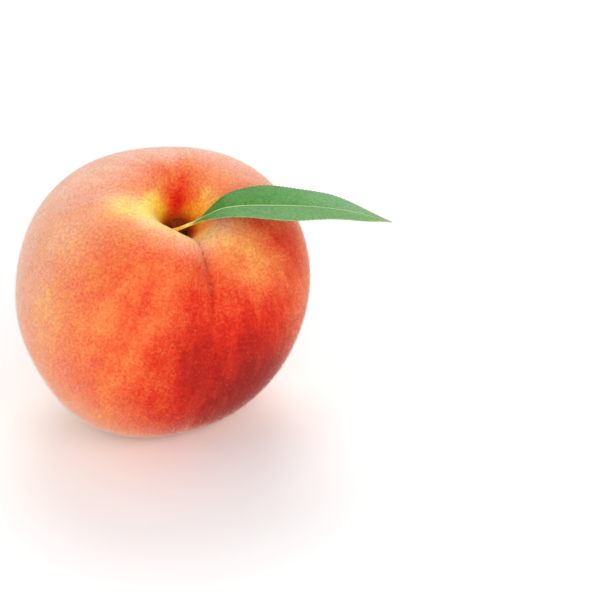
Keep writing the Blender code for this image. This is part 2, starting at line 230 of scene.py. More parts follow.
def add_values(piece, name, values):
    """Stores a number or a vector at each vertex, for the finish to read."""
    kind = "FLOAT_VECTOR" if np.ndim(values) == 2 else "FLOAT"
    layer = piece.data.attributes.new(name, kind, "POINT")
    layer.data.foreach_set("vector" if kind == "FLOAT_VECTOR" else "value",
                           np.asarray(values, dtype=np.float32).ravel())


class Signal:
    """A shader socket: sums that are written with it add Math nodes."""

    def __init__(self, finish, socket):
        self.finish = finish
        self.socket = socket

    def __add__(self, other):
        return self.finish.maths("ADD", self, other)

    def __radd__(self, other):
        return self.finish.maths("ADD", other, self)

    def __sub__(self, other):
        return self.finish.maths("SUBTRACT", self, other)

    def __rsub__(self, other):
        return self.finish.maths("SUBTRACT", other, self)

    def __mul__(self, other):
        return self.finish.maths("MULTIPLY", self, other)

    def __rmul__(self, other):
        return self.finish.maths("MULTIPLY", other, self)

    def between(self, low, high):
        """0 below low and 1 above high, smooth between them."""
        return self.finish.node("ShaderNodeMapRange", {"interpolation_type": "SMOOTHSTEP"},
                                {"Value": self, "From Min": low, "From Max": high})


class Finish:
    """A material whose nodes are added one call at a time."""

    def __init__(self, name, **constants):
        self.material = bpy.data.materials.new(name)
        self.material.use_nodes = True
        self.tree = self.material.node_tree
        self.shader = self.tree.nodes["Principled BSDF"]
        self.use(**constants)

    def use(self, **sockets):
        """Sets or feeds the shader's own sockets."""
        for socket, value in sockets.items():
            self.feed(self.shader.inputs[socket.replace("_", " ")], value)

    def feed(self, socket, value):
        if isinstance(value, Signal):
            self.tree.links.new(value.socket, socket)
        elif socket.type == "RGBA":
            socket.default_value = (*value, 1.0)
        else:
            socket.default_value = value

    def node(self, kind, settings, sockets, output=0):
        """Adds one node, with its settings first, and gives one of its outputs."""
        made = self.tree.nodes.new(kind)
        for name, value in settings.items():
            if name == "stops":
                self.set_stops(made.color_ramp, value)
            else:
                setattr(made, name, value)
        for name, value in sockets.items():
            self.feed(made.inputs[name], value)
        return Signal(self, made.outputs[output])

    def set_stops(self, ramp, stops):
        while len(ramp.elements) > 1:
            ramp.elements.remove(ramp.elements[-1])
        for index, (place, colour) in enumerate(stops):
            element = ramp.elements[0] if index == 0 else ramp.elements.new(place)
            element.position = place
            element.color = (*colour, 1.0)

    def maths(self, operation, *values):
        return self.node("ShaderNodeMath", {"operation": operation}, dict(enumerate(values)))

    def value_at(self, name):
        return self.node("ShaderNodeAttribute", {"attribute_name": name}, {}, "Fac")

    def vector_at(self, name):
        return self.node("ShaderNodeAttribute", {"attribute_name": name}, {}, "Vector")

    def noise(self, vector, scale, detail, roughness, distortion=0.0):
        return self.node("ShaderNodeTexNoise", {}, {
            "Vector": vector, "Scale": scale, "Detail": detail, "Roughness": roughness,
            "Distortion": distortion})

    def ramp(self, stops, place):
        return self.node("ShaderNodeValToRGB", {"stops": stops}, {"Fac": place})

    def blend(self, share, first, second):
        """A colour that goes from the first to the second as share goes from 0 to 1."""
        return self.node("ShaderNodeMix", {"data_type": "RGBA"},
                         {0: share, 6: first, 7: second}, output=2)

    def tinted(self, tone, tint):
        return self.node("ShaderNodeVectorMath", {"operation": "MULTIPLY"},
                         {0: tone, 1: tint}, "Vector")

    def bump(self, height, distance, strength):
        return self.node("ShaderNodeBump", {}, {
            "Strength": strength, "Distance": distance, "Height": height})


# The skin is yellow where the sun never reached, then orange and red, and wine red along
# the seam.  Each patch gives degrees from the stem and from the seam, its half height and
# half width in degrees, and how much redder or yellower it is.
SUNNED = 0.54
PATCHES = [
    (17, -80, 9, 36, -0.50),        # yellow crest of the left lobe
    (30, -98, 9, 20, -0.22),
    (53, -86, 9, 15, -0.11),
    (18, -20, 8, 40, -0.26),
    (20, 32, 14, 26, -0.12),        # orange-yellow front of the right lobe
    (40, 36, 12, 15, -0.12),
    (65, 24, 17, 17, 0.38),         # the reddest cheek
    (79, -7, 36, 17, 0.37),         # wine band along the seam
    (50, -42, 20, 26, 0.06),
    (62, -46, 12, 8, -0.16),
    (86, -29, 14, 18, 0.01),
    (92, -48, 12, 14, 0.05),
    (78, -76, 14, 14, -0.16),
    (50, -98, 22, 18, -0.10),
    (46, -112, 9, 15, 0.12),
    (30, -100, 6, 16, -0.10),
    (15, -148, 4, 14, 0.10),
    (18, -132, 5, 24, 0.17),        # the crest's outer side is orange again
    # Redder under the leaf: partly painted shadow of the leaf
    (42, 66, 18, 14, 0.20),         # under the leaf
    (24, 42, 12, 26, -0.05),
    (14, 50, 8, 24, 0.22),          # the right lobe's inner lip
    (11, 172, 7.5, 25, 0.70),       # red furrow
    (13, 136, 5, 13, 0.12),
    (10, 0, 8, 999, -0.32),         # yellow all round the cavity
    (10, -105, 9, 50, -0.32),
    (110, 50, 30, 50, 0.22),
    (150, 0, 34, 180, -0.20),       # the shaded end stays yellow
    (100, 172, 34, 44, -0.20),      # golden back with a blush at each side
    (104, 112, 26, 26, 0.14),
    (112, -132, 26, 24, 0.16),
]
WINE_AND_SHADE_PATCHES = [                # the same, for the dull dark band down the seam and below it
    (67, -11, 20, 13, 0.50),
    # The darkest patch, low on the front right, is partly painted shade
    (97, 23, 26, 28, 1.5),
]
PALE_LIPS = [                   # the same, for the pale lip of the cavity
    (23, -12, 10, 42, 0.45),
    (21, -68, 5, 24, 0.25),
    (17, 45, 9, 26, 0.28),
]
NEVER_PALE = [                  # the same, for the red furrow and the skin under the leaf
    (14, 175, 11, 26, 1.0),
    # The skin under the leaf is kept from paling as painted shadow of the leaf
    (44, 62, 26, 32, 0.95),
]
CHEEK = (60, -4)                # the side that had most sun, from the stem and the seam
CAVITY_EDGE = radians(19)
MOST_PALE, PALE_FROM, PALE_OVER = 0.76, radians(30), radians(66)
MOST_GOLDEN, GOLDEN_FROM, GOLDEN_OVER = 0.7, radians(108), radians(34)
STREAK_SHARE = 0.32             # how fast the streaks change along the fruit, against round it
SKIN_TONES = [                  # from least to most sun
    (0.00, (0.95, 0.72, 0.12)),
    (0.20, (0.91, 0.50, 0.11)),
    (0.40, (0.83, 0.25, 0.065)),
    (0.60, (0.77, 0.120, 0.034)),
    (0.80, (0.67, 0.030, 0.010)),
    (1.00, (0.44, 0.010, 0.006)),
]
PALE_SKIN_AND_SHEEN = (0.93, 0.61, 0.45)
WINE_SKIN_AND_SHADE = (0.29, 0.011, 0.009)
FRECKLE = (0.95, 0.42, 0.16)
CAVITY_TINT = (1.0, 0.76, 0.14)
CAVITY_FLOOR_AND_SHADE = (0.52, 0.060, 0.004)
SEAM_SPECK = (0.30, 0.018, 0.006)
SPECK_LINE = 0.36 * MM          # half the width of the speckled line in the seam
SPECKS_FROM_STEM, SPECKS_REACH = radians(38), radians(22)


def patch(polar, turn, from_stem, from_seam, half_height, half_width):
    """1 in the middle of a patch of skin, fading to 0 round it."""
    return bell(polar - radians(from_stem), radians(half_height)) * bell(
        wrapped(turn - radians(from_seam)), radians(half_width))


def patched(polar, turn, patches):
    return sum(amount * patch(polar, turn, *place) for *place, amount in patches)


def redness_of(polar, turn):
    """How much sun the skin had, from 0 to 1."""
    return SUNNED + patched(polar, turn, PATCHES)


def wine_and_shade_of(polar, turn):
    """How dull and dark the red is: partly the skin's wine red, partly painted shade low on the
    front right.
    """
    return patched(polar, turn, WINE_AND_SHADE_PATCHES)


def pale_and_sheen_of(polar, turn):
    """The dull pink of the skin away from the cheek, and on the lip of the cavity: partly the
    skin's own pallor, partly painted sheen that grows away from the cheek.
    """
    cheek = outward(radians(CHEEK[0]), radians(CHEEK[1]))
    from_cheek = np.arccos(np.clip(outward(polar, turn) @ cheek, -1, 1))
    pale = MOST_PALE * np.clip((from_cheek - PALE_FROM) / PALE_OVER, 0, 1)
    golden = MOST_GOLDEN * np.clip((from_cheek - GOLDEN_FROM) / GOLDEN_OVER, 0, 1)
    pale = pale * (1 - golden) * (1 - bell(polar, CAVITY_EDGE))
    for *place, amount in NEVER_PALE:
        pale = pale * (1 - amount * patch(polar, turn, *place))
    return pale + patched(polar, turn, PALE_LIPS)


def skin_finish():
    skin = Finish("peach_skin", Metallic=0.0, IOR=1.4, Sheen_Weight=0.35, Sheen_Roughness=0.3,
                  Sheen_Tint=(1.0, 0.84, 0.77), Specular_IOR_Level=0.1)
    here = skin.vector_at("fruit_place")
    streak_place = skin.vector_at("streak_place")
    streaks = skin.noise(streak_place, 5.0, detail=5.0, roughness=0.62, distortion=0.4) - 0.5
    fine_streaks = skin.noise(streak_place, 19.0, detail=4.0, roughness=0.6,
                              distortion=0.2) - 0.5
    clouds = skin.noise(here, 70.0, detail=4.0, roughness=0.55, distortion=0.3) - 0.5
    mottle = skin.noise(here, 260.0, detail=4.0, roughness=0.6) - 0.5
    grain = skin.noise(here, 1500.0, detail=3.0, roughness=0.7) - 0.5

    # From yellow through orange to red, in streaks that run from the stem
    streaked = skin.value_at("away_from_ends") * (streaks * 0.38 + fine_streaks * 0.20)
    redness = skin.value_at("redness") + streaked + clouds * 0.38 + mottle * 0.36 - grain * 0.30
    tone = skin.ramp(SKIN_TONES, redness)
    # Pale pink, partly the skin's own pallor and partly painted sheen towards the edges
    pale = (skin.value_at("pale") * (1 + streaks * 1.2 + fine_streaks * 0.6)
            + clouds * 0.16 + mottle * 0.08 + grain * 0.12)
    tone = skin.blend(pale.between(0.05, 1.05) * 0.85, tone, PALE_SKIN_AND_SHEEN)
    # Dull wine red down the seam, and painted shade low on the front right
    wine = skin.value_at("wine") * (0.85 + streaks * 1.2 + fine_streaks * 0.8)
    tone = skin.blend(wine.between(0.10, 1.1), tone, WINE_SKIN_AND_SHADE)
    flecks = skin.node("ShaderNodeTexVoronoi", {}, {"Vector": here, "Scale": 780.0}, "Distance")
    freckle = (1 - flecks.between(0.10, 0.24)) * redness.between(0.35, 0.8) * 0.10
    tone = skin.blend(freckle, tone, FRECKLE)

    # Deep yellow walls and a red-brown floor in the cavity, the floor partly painted shade deep
    # in the recess, and dark specks in the seam
    deep = skin.value_at("deep")
    tone = skin.blend(deep.between(0.16, 0.62) * 0.90, tone, skin.tinted(tone, CAVITY_TINT))
    tone = skin.blend(deep.between(0.58, 0.86), tone, CAVITY_FLOOR_AND_SHADE)
    specks = skin.noise(here, 620.0, detail=2.0, roughness=0.7).between(0.50, 0.62)
    tone = skin.blend(skin.value_at("crease") * (0.12 + specks * 0.85), tone, SEAM_SPECK)
    shade = skin.node("ShaderNodeCombineXYZ", {}, {
        "X": 0.98 + grain * 0.60, "Y": 0.98 + grain * 1.1, "Z": 0.98 + grain * 1.3}, "Vector")
    skin.use(Base_Color=skin.tinted(tone, shade), Roughness=0.62 + mottle * 0.2 + grain * 0.15,
             Normal=skin.bump(grain * 0.5 + mottle * 0.6, 0.12 * MM, strength=0.35))
    return skin.material


def add_fruit():
    rows, columns = polar_grid.shape
    points = np.concatenate((skin_grid.reshape(-1, 3), ends))
    stem_end, blossom_end = rows * columns, rows * columns + 1
    last = (rows - 1) * columns
    faces = grid_faces(rows, columns).tolist()
    for index in range(columns):
        after = (index + 1) % columns
        faces.append((stem_end, index, after))
        faces.append((blossom_end, last + after, last + index))
    piece = add_piece("peach_fruit", laid_down(points), faces, skin_finish())
    polar = np.concatenate((polar_grid.ravel(), (0.0, pi)))
    turn = np.concatenate((turn_grid.ravel(), (0.0, 0.0)))
    offset = crease_offset(polar, turn, body_radius(polar))
    in_front = np.abs(wrapped(turn)) < pi / 2
    on_seam = np.where(in_front, np.exp(-np.abs(offset) / SPECK_LINE), 0)
    add_values(piece, "fruit_place", points)
    add_values(piece, "streak_place", np.stack(
        (np.sin(turn), np.cos(turn), STREAK_SHARE * polar), axis=-1))
    add_values(piece, "away_from_ends", np.sin(polar) ** 0.5)
    add_values(piece, "redness", redness_of(polar, turn))
    add_values(piece, "pale", pale_and_sheen_of(polar, turn))
    add_values(piece, "wine", wine_and_shade_of(polar, turn))
    add_values(piece, "deep", np.concatenate((sunk_grid.ravel(), (1.0, 0.0))))
    add_values(piece, "crease", on_seam * bell(polar - SPECKS_FROM_STEM, SPECKS_REACH))
    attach(piece, "root")
    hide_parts("fruit")


add_fruit()

# ---- Fuzz -----------------------------------------------------------------------------
# The skin is covered with short pale hairs that grew out of it.  They stand up and lean a
# little at random, are shorter round the cavity, and catch the light at the edges.  Each
# coat is the colour that the hairs take from the skin under them.
FUZZ_WIDTH = 0.034 * MM
FUZZ_HAIRS = 184000
FUZZ_SHORTEST, FUZZ_LONGEST = 0.30 * MM, 0.70 * MM
FUZZ_LEAN = 0.24                # how far a hair leans, for its length
FUZZ_SHORT_RING, FUZZ_SHORT_REACH, FUZZ_SHORTER = radians(17), radians(13), 0.6
FUZZ_DEEPEST, FUZZ_THINS_OVER = 0.25, 0.5       # how far down the cavity it grows
FUZZ_ROOTED = 0.04 * MM         # how deep a hair stands in the skin
FUZZ_MOST = 45000               # hairs in one piece
FUZZ_COATS = [                  # name, up to this redness of the skin, colour
    ("fuzz_golden", 0.44, (0.98, 0.68, 0.36)),
    ("fuzz_orange", 0.56, (0.96, 0.50, 0.33)),
    ("fuzz_rosy", 0.68, (0.90, 0.30, 0.18)),
    ("fuzz_wine", np.inf, (0.50, 0.07, 0.035)),
]
FUZZ_PALE = (0.98, 0.84, 0.75)  # on the skin that had least sun
FUZZ_PALE_FROM = 0.34
FUZZ_MIXED = (0.07, 0.10)       # how far two coats mix, by redness and by pallor
BARE_SEAM = 0.4 * MM            # no hairs this close to the seam
CLEAR_OF_GROUND = 0.2 * MM
random = np.random.default_rng(7)


def hair_roots(count):
    """Random places on the skin, even by area: root, normal, redness, pallor, length share."""
    points = laid_down(skin_grid)
    ahead = np.roll(points, -1, axis=1)
    a, b, c, d = points[:-1], points[1:], ahead[1:], ahead[:-1]
    normal = np.cross(c - a, d - b)
    area = np.linalg.norm(normal, axis=-1)
    chance = np.cumsum(area.ravel())
    chosen = np.searchsorted(chance, random.random(count) * chance[-1])
    u, v = random.random((2, count, 1))
    corner = [side.reshape(-1, 3)[chosen] for side in (a, b, c, d)]
    root = ((1 - u) * ((1 - v) * corner[0] + v * corner[1])
            + u * ((1 - v) * corner[3] + v * corner[2]))
    way = normal.reshape(-1, 3)[chosen] / area.ravel()[chosen][:, None]
    redness = redness_of(polar_grid, turn_grid) + 0.5 * wine_and_shade_of(polar_grid, turn_grid)
    deepest = FUZZ_DEEPEST + FUZZ_THINS_OVER * random.random(count)
    kept = sunk_grid[:-1].ravel()[chosen] < deepest
    offset = crease_offset(polar_grid, turn_grid, body_radius(polar_grid))
    kept = kept & (np.abs(offset[:-1].ravel()[chosen]) > BARE_SEAM)
    pale = pale_and_sheen_of(polar_grid, turn_grid) - 0.4 * bell(polar_grid, radians(25))
    grown = 1 - FUZZ_SHORTER * bell(polar_grid - FUZZ_SHORT_RING, FUZZ_SHORT_REACH)
    values = (redness, pale, grown)
    return root[kept], way[kept], *(value[:-1].ravel()[chosen][kept] for value in values)


def add_fuzz(name, tint, root, way, grown):
    """One coat of hairs, each a thin three-sided spike on a closed foot."""
    count = len(root)
    spread = FUZZ_LONGEST - FUZZ_SHORTEST
    length = (FUZZ_SHORTEST + spread * random.random((count, 1)) ** 1.5) * grown[:, None]
    way = way + random.normal(size=(count, 3)) * FUZZ_LEAN
    way = way / np.linalg.norm(way, axis=1, keepdims=True)
    tip = root + way * length
    clear = tip[:, 2] > fruit_low.z + CLEAR_OF_GROUND
    root, way, tip = root[clear] - way[clear] * FUZZ_ROOTED, way[clear], tip[clear]
    side = np.cross(way, random.normal(size=way.shape))
    side = side / np.linalg.norm(side, axis=1, keepdims=True)
    other = np.cross(way, side)
    foot = [root + FUZZ_WIDTH / 2 * (cos(angle) * side + sin(angle) * other)
            for angle in (0, 2 * pi / 3, 4 * pi / 3)]
    points = np.stack((*foot, tip), axis=1).reshape(-1, 3)
    first = np.arange(len(root))[:, None] * 4
    faces = np.concatenate([first + corners for corners in (
        (0, 1, 3), (1, 2, 3), (2, 0, 3), (2, 1, 0))])
    down = Finish(name, Base_Color=tint, Roughness=0.55, Metallic=0.0, Specular_IOR_Level=0.2)
    mesh = bpy.data.meshes.new(name)
    mesh.vertices.add(len(points))
    mesh.vertices.foreach_set("co", points.astype(np.float32).ravel())
    mesh.loops.add(faces.size)
    mesh.loops.foreach_set("vertex_index", faces.astype(np.int32).ravel())
    mesh.polygons.add(len(faces))
    mesh.polygons.foreach_set("loop_start", np.arange(0, faces.size, 3, dtype=np.int32))
    mesh.update(calc_edges=True)
    mesh.materials.append(down.material)
    piece = bpy.data.objects.new(name, mesh)
    bpy.context.scene.collection.objects.link(piece)
    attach(piece, "root")


hair_root, hair_way, hair_redness, hair_pale, hair_grown = hair_roots(FUZZ_HAIRS)
hair_redness = hair_redness + FUZZ_MIXED[0] * random.normal(size=len(hair_redness))
hair_pale = hair_pale + FUZZ_MIXED[1] * random.normal(size=len(hair_pale))
is_pale = hair_pale > FUZZ_PALE_FROM
coats = [("fuzz_pale", FUZZ_PALE, is_pale)]
least = -np.inf
for coat, most, tint in FUZZ_COATS:
    coats.append((coat, tint, ~is_pale & (hair_redness >= least) & (hair_redness < most)))
    least = most
for coat, tint, chosen in coats:
    hairs = np.flatnonzero(chosen)
    for number, start in enumerate(range(0, len(hairs), FUZZ_MOST), 1):
        some = hairs[start:start + FUZZ_MOST]
        add_fuzz(f"{coat}_{number}", tint, hair_root[some], hair_way[some], hair_grown[some])

# ---- Stem -----------------------------------------------------------------------------
# The short stub of twig that the fruit hung from, dry and woody, with ridged bark round
# its side and a broken-off end that shows its rings.  Its foot stands in the floor of the
# stem cavity.
STEM_RADIUS = 2.2 * MM
STEM_FOOT_RADIUS = 2.6 * MM
STEM_HEIGHT = 4.8 * MM
SOCKET_FLOOR = CROWN_HEIGHT - CAVITY_DEPTH - SOCKET_DEPTH
STEM_FOOT = SOCKET_FLOOR + 0.3 * MM
STEM_TOP = SOCKET_FLOOR + STEM_HEIGHT
STEM_BEVEL = 0.4 * MM           # round the foot, inside the fruit
STEM_RIM = 0.16 * MM            # how far the bark stands out at the broken end
STEM_END_HOLLOW = 0.22 * MM
STEM_SIDES, STEM_ROWS, STEM_END_ROWS = 96, 34, 14
STEM_RIDGES = ((7, 0.10 * MM), (12, 0.055 * MM), (19, 0.04 * MM), (31, 0.02 * MM))
RIDGE_TWIST = 260               # how much the ridges wind up the stem
FIBRE_LENGTH = 9 * MM
BREAK_UNEVEN, BREAK_WAVES, BREAK_RINGS = 0.10 * MM, 0.05 * MM, 0.05 * MM
RING_PACE = 9000                # radians for each metre out from the middle
BARK_TONES = [
    (0.25, (0.035, 0.012, 0.004)),
    (0.50, (0.110, 0.042, 0.015)),
    (0.75, (0.240, 0.115, 0.045)),
]
# The broken end is dark red-brown, partly painted shade of the deep cavity
STEM_END_TONES_AND_SHADE = [
    (0.15, (0.090, 0.011, 0.002)),
    (0.55, (0.200, 0.027, 0.003)),
    (0.90, (0.340, 0.064, 0.006)),
]


def stem_profile():
    """Radius, height and how far onto the cut end, from under the foot to the middle."""
    side = [(0.0, STEM_FOOT, 0.0), (STEM_FOOT_RADIUS - STEM_BEVEL, STEM_FOOT, 0.0)]
    for share in np.linspace(0, 1, STEM_ROWS):
        height = STEM_FOOT + STEM_BEVEL + share * (STEM_TOP - STEM_FOOT - 0.9 * MM)
        flare = bell(share, 0.32) * (STEM_FOOT_RADIUS - STEM_RADIUS)
        rim = bell(1 - share, 0.12) * STEM_RIM
        side.append((STEM_RADIUS - 0.1 * MM + flare + rim, height, 0.0))
    end = [(STEM_RADIUS * (1 - share), STEM_TOP - STEM_END_HOLLOW * share, 1.0)
           for share in np.linspace(0.08, 0.999, STEM_END_ROWS)]
    return np.array(side + end)


def bark_finish():
    bark = Finish("stem_bark", Metallic=0.0, Specular_IOR_Level=0.08)
    here = bark.vector_at("stem_place")
    grain = bark.noise(here, 1400.0, detail=5.0, roughness=0.65, distortion=0.6)
    fibres = bark.noise(bark.vector_at("fibre_place"), 9.0, detail=5.0, roughness=0.7)
    rings = bark.node("ShaderNodeTexWave", {"wave_type": "RINGS", "rings_direction": "Z"}, {
        "Vector": here, "Scale": 420.0, "Distortion": 2.2, "Detail": 3.0}, "Fac")
    side_tone = bark.ramp(BARK_TONES, fibres * 0.6 + grain * 0.4)
    end_tone_and_shade = bark.ramp(STEM_END_TONES_AND_SHADE, rings * 0.25 + grain * 0.75)
    bark.use(Base_Color=bark.blend(bark.value_at("cut"), side_tone, end_tone_and_shade),
             Roughness=0.95 - grain * 0.25,
             Normal=bark.bump(fibres * 0.7 + grain * 0.5, 0.12 * MM, strength=0.8))
    return bark.material


def add_stem():
    profile = stem_profile()
    turn = np.linspace(-pi, pi, STEM_SIDES, endpoint=False)
    radius, height, cut = (profile[:, index][:, None] for index in range(3))
    wound = RIDGE_TWIST * (height - STEM_FOOT)
    ridged = sum(size * np.sin(count * turn + 2.1 * count + wound / count)
                 for count, size in STEM_RIDGES)
    worn = BREAK_UNEVEN * np.sin(3 * turn + 0.7) + BREAK_WAVES * np.sin(8 * turn)
    reach = radius + ridged * np.minimum(radius / STEM_RADIUS, 1) ** 3 * (1 - 0.6 * cut)
    rings = BREAK_RINGS * np.sin(radius * RING_PACE)
    rise = height + (worn * radius / STEM_RADIUS + rings) * cut
    side = np.stack((reach * np.sin(turn), -reach * np.cos(turn), rise + 0 * turn), axis=-1)
    rows = len(profile)
    foot_end, cut_end = rows * STEM_SIDES, rows * STEM_SIDES + 1
    last = (rows - 1) * STEM_SIDES
    faces = grid_faces(rows, STEM_SIDES)[:, ::-1].tolist()
    for index in range(STEM_SIDES):
        after = (index + 1) % STEM_SIDES
        faces.append((foot_end, after, index))
        faces.append((cut_end, last + index, last + after))
    points = np.concatenate((side.reshape(-1, 3),
                             ((0, 0, STEM_FOOT), (0, 0, STEM_TOP - STEM_END_HOLLOW))))
    piece = add_piece("peach_stem", laid_down(points), faces, bark_finish())
    around = np.concatenate((np.tile(turn, rows), (0.0, 0.0)))
    add_values(piece, "stem_place", points)
    add_values(piece, "fibre_place", np.stack(
        (np.sin(around), np.cos(around), (points[:, 2] - STEM_FOOT) / FIBRE_LENGTH), axis=-1))
    add_values(piece, "cut", np.concatenate(((cut + 0 * turn).ravel(), (0.0, 1.0))))
    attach(piece, "root")
    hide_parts("stem")


add_stem()

# ---- Leaf -----------------------------------------------------------------------------
# One long lance-shaped leaf, left on when the fruit was picked.  A thin waxy blade grew
# on both sides of a pale midrib, with curved side veins and a finely toothed margin, and
# its stalk comes out beside the stem.
LEAF_HALF_WIDTH = 8.2 * MM
LEAF_THICKNESS = 0.28 * MM
LEAF_FOLDS = (radians(0.5), radians(11))    # how far the near and the far half stand up
LEAF_TEETH = 52
TOOTH_DEPTH = 0.42 * MM
TOOTH_PEAK = 0.72               # share of a tooth before its point
SIDE_VEINS = 15
VEIN_SWEEP, VEIN_CURVE = 0.11, 1.3          # how far the side veins bend forward
VEIN_STAGGER = 0.012            # the two halves' veins leave the midrib by turns
MIDRIB_HALF_WIDTH = 0.5 * MM
MIDRIB_GROOVE, MIDRIB_BELOW = 0.09 * MM, 0.46 * MM
VEIN_GROOVE, VEIN_BELOW = 0.01 * MM, 0.05 * MM
VEIN_WIDTH = 0.006              # share of the blade's length, at its middle
PILLOW, WAVE = 0.02 * MM, 0.25 * MM         # between the veins, and along the margin
MARGIN_FROM, MARGIN_THINNER = 0.8, 0.35     # where the blade thins out, and by how much
BLADE_BULGE = 0.10
BLADE_OPEN_FROM = 3 * MM        # the half width at which teeth and veins are at their full size
STALK_RADIUS = 0.42 * MM
STALK_SWELL, SWELL_REACH = 0.45, 0.02       # it is thicker where it left the twig
BLADE_START = 0.08              # share of the midrib's length that is bare stalk
BLADE_OPENS = 0.12              # share of the blade over which the stalk flattens into it
LEAF_TIP = 0.998
STALK_STATIONS = 30
STATIONS_PER_TOOTH = 6
BLADE_COLUMNS = 39
ROUTE_STEPS = 24
MIDRIB_ROUTE = [                # from the fruit's centre, from beside the stem to the tip
    Vector((4.0, -10.1, 21.8)) * MM,
    Vector((9.2, -12.4, 25.2)) * MM,
    Vector((17.5, -13.8, 29.9)) * MM,
    Vector((31.0, -10.6, 28.9)) * MM,
    Vector((45.0, -5.2, 25.2)) * MM,
    Vector((58.4, 0.8, 18.9)) * MM,
]
# Leaf greens with painted reflection of the bright room: the near half is lighter than the far
# half, and both pale towards the tip
FAR_HALF_GREENS_AND_REFLECTION = [              # from the base to the tip, which turns to the light
    (0.00, (0.040, 0.170, 0.006)),
    (0.30, (0.045, 0.205, 0.014)),
    (0.55, (0.105, 0.315, 0.085)),
    (0.80, (0.205, 0.400, 0.195)),
    (1.00, (0.290, 0.440, 0.220)),
]
NEAR_HALF_GREENS_AND_REFLECTION = ((0.046, 0.220, 0.026), (0.210, 0.430, 0.165))
LEAF_MOTTLE = (0.10, 0.31, 0.05)
VEIN_GREEN = (0.22, 0.42, 0.14)
LEAF_UNDERSIDE, UNDERSIDE_VEIN = (0.19, 0.34, 0.15), (0.36, 0.48, 0.22)
MARGIN_GREEN = (0.38, 0.50, 0.20)
MIDRIB_GREEN = (0.52, 0.64, 0.30)
STALK_TONES = ((0.98, 0.56, 0.09), (0.98, 0.90, 0.22))


def smooth_route(points, steps_between):
    """A smooth line through the points, from Bezier stretches that share their tangents."""
    tangents = [(points[min(index + 1, len(points) - 1)] - points[max(index - 1, 0)]) / 6
                for index in range(len(points))]
    line = []
    for index in range(len(points) - 1):
        start, end = points[index], points[index + 1]
        stretch = interpolate_bezier(
            start, start + tangents[index], end - tangents[index + 1], end, steps_between)
        line += stretch[:-1]
    return np.array(line + [points[-1]])


def along_route(line, shares):
    """Places and directions at shares of the line's length."""
    steps = np.linalg.norm(np.diff(line, axis=0), axis=1)
    lengths = np.concatenate(((0,), np.cumsum(steps)))
    ways = np.gradient(line, axis=0)
    at = [np.interp(shares * lengths[-1], lengths, line[:, axis]) for axis in range(3)]
    way = [np.interp(shares * lengths[-1], lengths, ways[:, axis]) for axis in range(3)]
    way = np.stack(way, axis=-1)
    return np.stack(at, axis=-1), way / np.linalg.norm(way, axis=1, keepdims=True)


def blade_half_width(share):
    """Lance-shaped outline: share runs from 0 at the blade's base to 1 at its tip."""
    rise, fall = 1.05, 1.15
    widest = rise / (rise + fall)
    peak = widest ** rise * (1 - widest) ** fall
    return LEAF_HALF_WIDTH * share ** rise * (1 - share) ** fall / peak


def vein_closeness(along, across):
    """1 on a side vein and 0 away from it; the veins leave the midrib and bend forward."""
    started = along - VEIN_SWEEP * np.abs(across) ** VEIN_CURVE + VEIN_STAGGER * np.sign(across)
    phase = started * SIDE_VEINS
    apart = np.abs(phase - np.round(phase)) / SIDE_VEINS
    return bell(apart, VEIN_WIDTH * (1.3 - np.abs(across))) * (np.abs(across) < 0.93)


def leaf_finish():
    leaf = Finish("leaf_green", Metallic=0.0, Specular_IOR_Level=0.22, IOR=1.45)
    along = leaf.value_at("along")
    across = leaf.value_at("across")
    upper = leaf.value_at("upper")
    from_rib = leaf.value_at("from_rib")
    here = leaf.vector_at("leaf_place")
    mottle = leaf.noise(here, 420.0, detail=4.0, roughness=0.6)
    cells = leaf.noise(here, 1500.0, detail=3.0, roughness=0.7)
    clouds = leaf.noise(here, 90.0, detail=3.0, roughness=0.5) - 0.5
    half = leaf.maths("ABSOLUTE", across)

    # Side veins, along the same lines as their relief
    phase = (along - leaf.maths("POWER", half, VEIN_CURVE) * VEIN_SWEEP
             + leaf.maths("SIGN", across) * VEIN_STAGGER + clouds * 0.02) * SIDE_VEINS
    apart = leaf.maths("ABSOLUTE", phase - leaf.maths("ROUND", phase))
    vein = ((1 - apart.between(0.02, 0.13)) * (1 - half.between(0.80, 0.97))
            * along.between(0.0, 0.05))

    # Two greens for the two halves, the near half and the tip paler as painted reflection of the
    # bright room, a paler underside, margin and midrib, and a yellow stalk
    far_half_and_reflection = leaf.ramp(FAR_HALF_GREENS_AND_REFLECTION, along + clouds * 0.2)
    near_half_and_reflection = leaf.blend(along, *NEAR_HALF_GREENS_AND_REFLECTION)
    tone = leaf.blend(across.between(-0.05, 0.05), near_half_and_reflection, far_half_and_reflection)
    tone = leaf.blend((mottle - 0.35) * 0.9, tone, LEAF_MOTTLE)
    tone = leaf.blend(vein * 0.06, tone, VEIN_GREEN)
    underside = leaf.blend(vein * 0.5, LEAF_UNDERSIDE, UNDERSIDE_VEIN)
    tone = leaf.blend(upper, underside, tone)
    tone = leaf.blend(half.between(0.955, 0.995) * 0.55, tone, MARGIN_GREEN)
    rib = (1 - from_rib.between(0.10, 0.26)) * (0.9 - along * 0.4)
    tone = leaf.blend(rib, tone, MIDRIB_GREEN)
    stalk = (1 - along.between(-0.05, 0.11)) * (1 - from_rib.between(0.42, 0.75))
    tone = leaf.blend(stalk, tone, leaf.blend(along.between(-0.06, 0.03), *STALK_TONES))
    tone = leaf.node("ShaderNodeVectorMath", {"operation": "SCALE"}, {
        0: tone, "Scale": 0.10 + cells * 1.4 + mottle * 0.4}, "Vector")
    leaf.use(Base_Color=tone, Roughness=0.42 + mottle * 0.14 + (1 - upper) * 0.2,
             Normal=leaf.bump(vein * -0.2 + mottle * 0.3 + cells * 0.3, 0.10 * MM, strength=0.5))
    return leaf.material


